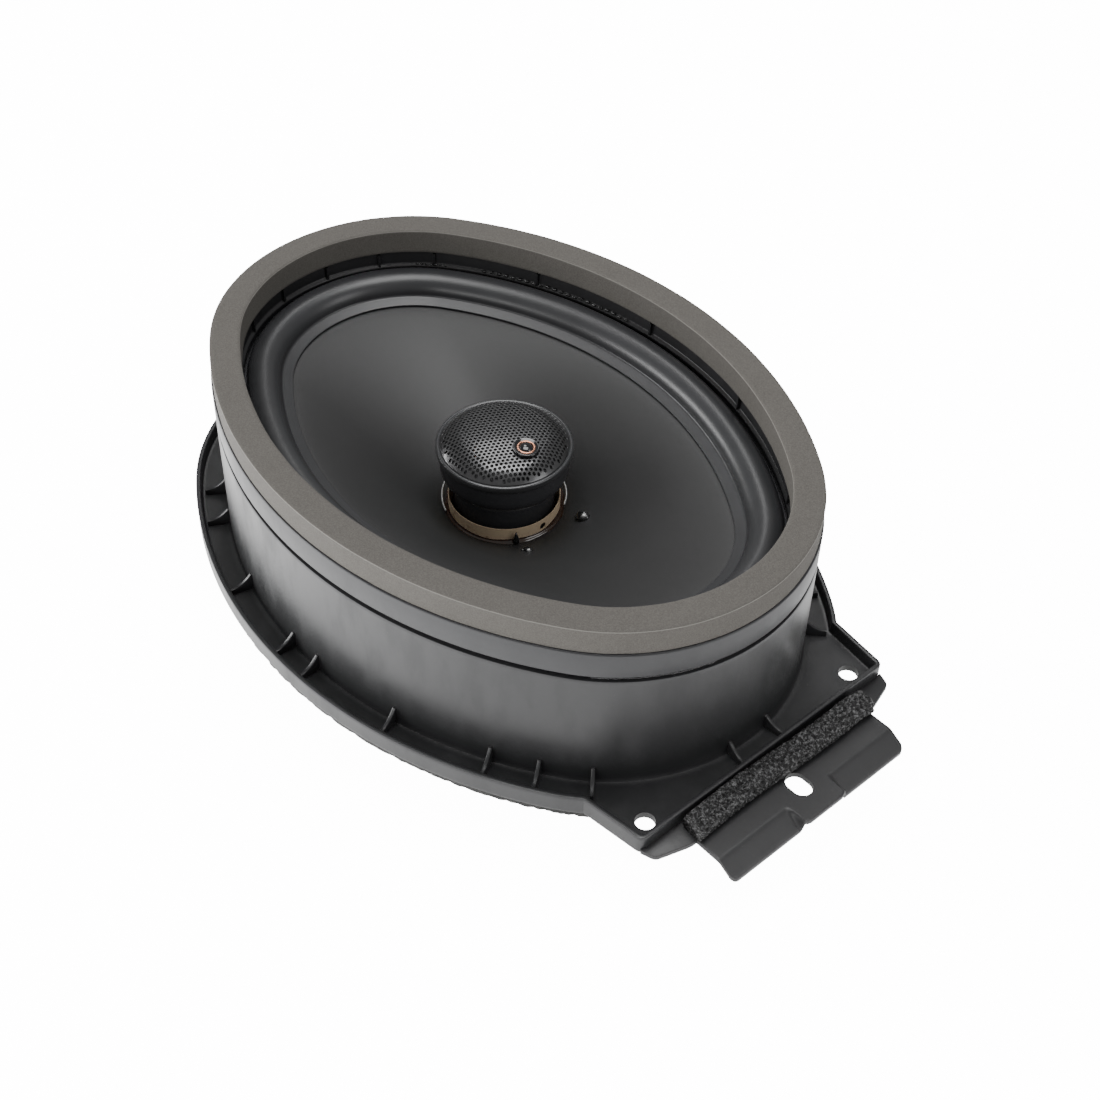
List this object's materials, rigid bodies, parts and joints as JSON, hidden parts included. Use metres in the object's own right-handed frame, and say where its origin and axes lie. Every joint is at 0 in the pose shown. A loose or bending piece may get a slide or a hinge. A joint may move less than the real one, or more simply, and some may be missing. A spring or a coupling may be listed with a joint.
{
  "type": "coaxial car speaker",
  "caption": "Oval coaxial car speaker in a deep adapter housing, with a foam gasket, a rubber surround, a post-mounted tweeter and a mounting tab.",
  "frame": {"origin": "middle of the magnet boot's flat rear face, on the voice-coil axis", "axes": "+Z out of the front of the speaker, +X along the oval towards the mounting tab, +Y across the oval"},
  "size_m": [0.2821, 0.1888, 0.087],
  "materials": {
    "housing_plastic": "satin moulded",
    "basket_plastic": "satin moulded",
    "gasket_foam": "matt closed-cell foam",
    "seal_foam": "coarse open-cell foam",
    "glue": "glossy bead",
    "surround_rubber": "satin",
    "cone_poly": "fine matt",
    "former_kraft": "kraft paper wrap",
    "copper": "enamelled",
    "amber_glue": "glossy resin",
    "lead_braid": "braided",
    "spider_cloth": "resin-dipped weave",
    "plated_steel": "zinc plated",
    "ferrite": "ground ferrite",
    "boot_rubber": "matt",
    "board_phenolic": "phenolic board",
    "terminal_plate": "tinned",
    "capacitor_sleeve": "shrink sleeve",
    "wire_red": "insulated wire",
    "tweeter_plastic": "semi-gloss moulded",
    "tweeter_rim_metal": "satin black",
    "grille_steel": "gloss black, perforated",
    "badge_gloss": "gloss",
    "dome_silk": "coated silk",
    "neodymium": "nickel plated"
  },
  "bodies": {
    "frame": {"housing_wall": "housing_plastic", "housing_flange": "housing_plastic", "housing_ribs": "housing_plastic", "mounting_tab": "housing_plastic", "front_gasket": "gasket_foam", "tab_foam_strip": "seal_foam", "rear_seal": "seal_foam", "basket_rim": "basket_plastic", "basket_legs": "basket_plastic", "basket_seat": "basket_plastic", "joint_glue": "glue", "retaining_ring": "basket_plastic", "surround": "surround_rubber", "tinsel_leads": "lead_braid", "spider": "spider_cloth", "top_plate": "plated_steel", "magnet": "ferrite", "yoke": "plated_steel", "magnet_boot": "boot_rubber", "motor_rivets": "plated_steel", "terminal_board": "board_phenolic", "terminal_wide": "terminal_plate", "terminal_narrow": "terminal_plate", "crossover_capacitor": "capacitor_sleeve", "tweeter_leads": "wire_red", "tweeter_post": "tweeter_plastic", "post_nut": "plated_steel", "tweeter_cup": "tweeter_plastic", "tweeter_rim": "tweeter_rim_metal", "tweeter_grille": "grille_steel", "tweeter_badge": "badge_gloss", "tweeter_pot": "plated_steel", "tweeter_magnet": "neodymium", "tweeter_plate": "plated_steel", "tweeter_face": "tweeter_plastic", "tweeter_surround": "dome_silk"},
    "cone": {"cone": "cone_poly", "voice_coil_former": "former_kraft", "voice_coil": "copper", "neck_glue": "amber_glue", "lead_dots": "glue"},
    "tweeter_diaphragm": {"tweeter_dome": "dome_silk", "tweeter_coil": "copper"}
  },
  "joints": [
    {"name": "cone_travel", "type": "slide", "parent": "frame", "child": "cone", "axis": [0, 0, 1], "range_m": [-0.004, 0.004], "stiffness_N_per_m": 2200, "deforming": ["surround", "spider", "tinsel_leads"]},
    {"name": "tweeter_travel", "type": "slide", "parent": "frame", "child": "tweeter_diaphragm", "axis": [0, 0, 1], "range_m": [-0.0003, 0.0003], "stiffness_N_per_m": 400, "deforming": ["tweeter_surround"]}
  ]
}
